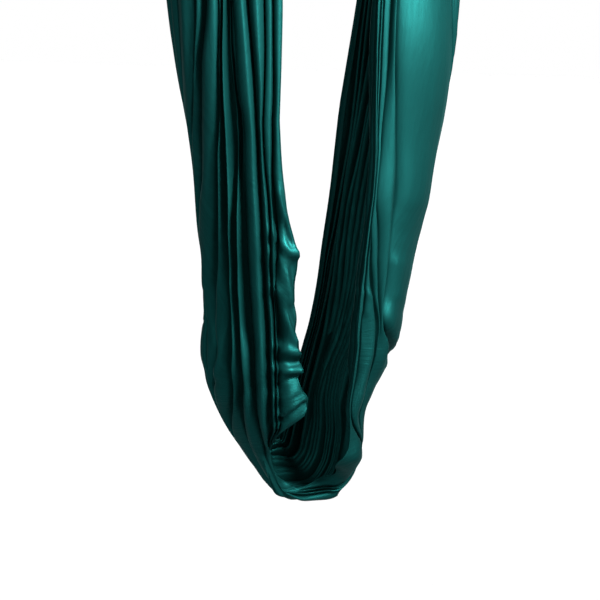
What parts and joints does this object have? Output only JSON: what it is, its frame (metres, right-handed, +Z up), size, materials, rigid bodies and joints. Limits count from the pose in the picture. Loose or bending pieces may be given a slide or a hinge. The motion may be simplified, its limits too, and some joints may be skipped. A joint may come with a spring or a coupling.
{
  "type": "aerial yoga hammock",
  "caption": "Wide gathered cloth hung in a deep U as a seat between two ceiling plates, on carabiners and daisy-chain straps.",
  "frame": {"origin": "on the ceiling plane, midway between the two anchor plates", "axes": "+Z up into the ceiling, +X from the left anchor to the right one, +Y across the cloth to the back; the sling's front faces -Y"},
  "size_m": [0.7921, 0.2433, 2.7374],
  "materials": {
    "anchor_plate": "satin black powder coat",
    "bow": "brushed",
    "screw": "zinc plated",
    "washer": "zinc plated",
    "carabiner": "polished",
    "gate": "polished",
    "pin": "riveted",
    "sleeve": "black anodised, knurled",
    "spring": "spring wire",
    "strap": "woven webbing",
    "knot": "satin knit",
    "cloth": "satin knit"
  },
  "bodies": {
    "ceiling_mounts": {"left_anchor_plate": "anchor_plate", "left_anchor_bow": "bow", "left_lag_screw_1": "screw", "left_lag_screw_2": "screw", "left_lag_screw_3": "screw", "left_lag_screw_4": "screw", "left_washer_1": "washer", "left_washer_2": "washer", "left_washer_3": "washer", "left_washer_4": "washer", "right_anchor_plate": "anchor_plate", "right_anchor_bow": "bow", "right_lag_screw_1": "screw", "right_lag_screw_2": "screw", "right_lag_screw_3": "screw", "right_lag_screw_4": "screw", "right_washer_1": "washer", "right_washer_2": "washer", "right_washer_3": "washer", "right_washer_4": "washer"},
    "upper_carabiners": {"left_upper_carabiner_body": "carabiner", "left_upper_carabiner_pin": "pin", "right_upper_carabiner_body": "carabiner", "right_upper_carabiner_pin": "pin"},
    "left_strap": {"left_daisy_strap": "strap"},
    "right_strap": {"right_daisy_strap": "strap"},
    "hammock": {"left_lower_carabiner_body": "carabiner", "left_lower_carabiner_pin": "pin", "right_lower_carabiner_body": "carabiner", "right_lower_carabiner_pin": "pin", "left_choke_knot": "knot", "right_choke_knot": "knot", "sling_cloth": "cloth"},
    "left_upper_gate": {"left_upper_carabiner_gate": "gate", "left_upper_carabiner_spring": "spring"},
    "left_upper_sleeve": {"left_upper_carabiner_sleeve": "sleeve"},
    "left_lower_gate": {"left_lower_carabiner_gate": "gate", "left_lower_carabiner_spring": "spring"},
    "left_lower_sleeve": {"left_lower_carabiner_sleeve": "sleeve"},
    "right_upper_gate": {"right_upper_carabiner_gate": "gate", "right_upper_carabiner_spring": "spring"},
    "right_upper_sleeve": {"right_upper_carabiner_sleeve": "sleeve"},
    "right_lower_gate": {"right_lower_carabiner_gate": "gate", "right_lower_carabiner_spring": "spring"},
    "right_lower_sleeve": {"right_lower_carabiner_sleeve": "sleeve"}
  },
  "joints": [
    {"name": "swing", "type": "hinge", "parent": "ceiling_mounts", "child": "upper_carabiners", "pos_m": [0, 0, -0.046], "axis": [1, 0, 0], "range_deg": [-40, 40]},
    {"name": "left_strap_sway", "type": "hinge", "parent": "upper_carabiners", "child": "left_strap", "pos_m": [-0.33, 0, -0.1312], "axis": [0, 1, 0], "range_deg": [-20, 20]},
    {"name": "right_strap_sway", "type": "hinge", "parent": "upper_carabiners", "child": "right_strap", "pos_m": [0.33, 0, -0.1312], "axis": [0, 1, 0], "range_deg": [-20, 20]},
    {"name": "hammock_level", "type": "hinge", "parent": "left_strap", "child": "hammock", "pos_m": [-0.33, 0, -0.4512], "axis": [0, 1, 0], "range_deg": [-20, 20]},
    {"name": "left_upper_gate_hinge", "type": "hinge", "parent": "upper_carabiners", "child": "left_upper_gate", "pos_m": [-0.33, -0.0235, -0.0647], "axis": [1, 0, 0], "range_deg": [0, 25], "stiffness_Nm_per_rad": 0.15, "springref_deg": -17.19},
    {"name": "left_upper_sleeve_lock", "type": "slide", "parent": "left_upper_gate", "child": "left_upper_sleeve", "axis": [0, 0, -1], "range_m": [0, 0.0105]},
    {"name": "left_lower_gate_hinge", "type": "hinge", "parent": "hammock", "child": "left_lower_gate", "pos_m": [-0.33, -0.029, -0.5282], "axis": [-1, 0, 0], "range_deg": [0, 25], "stiffness_Nm_per_rad": 0.15, "springref_deg": -17.19},
    {"name": "left_lower_sleeve_lock", "type": "slide", "parent": "left_lower_gate", "child": "left_lower_sleeve", "axis": [0, 0, 1], "range_m": [0, 0.0105]},
    {"name": "right_upper_gate_hinge", "type": "hinge", "parent": "upper_carabiners", "child": "right_upper_gate", "pos_m": [0.33, -0.0235, -0.0647], "axis": [1, 0, 0], "range_deg": [0, 25], "stiffness_Nm_per_rad": 0.15, "springref_deg": -17.19},
    {"name": "right_upper_sleeve_lock", "type": "slide", "parent": "right_upper_gate", "child": "right_upper_sleeve", "axis": [0, 0, -1], "range_m": [0, 0.0105]},
    {"name": "right_lower_gate_hinge", "type": "hinge", "parent": "hammock", "child": "right_lower_gate", "pos_m": [0.33, -0.029, -0.5282], "axis": [-1, 0, 0], "range_deg": [0, 25], "stiffness_Nm_per_rad": 0.15, "springref_deg": -17.19},
    {"name": "right_lower_sleeve_lock", "type": "slide", "parent": "right_lower_gate", "child": "right_lower_sleeve", "axis": [0, 0, 1], "range_m": [0, 0.0105]}
  ],
  "couplings": [
    {"joint": "right_strap_sway", "follows": "left_strap_sway", "ratio": 1},
    {"joint": "hammock_level", "follows": "left_strap_sway", "ratio": -1}
  ]
}
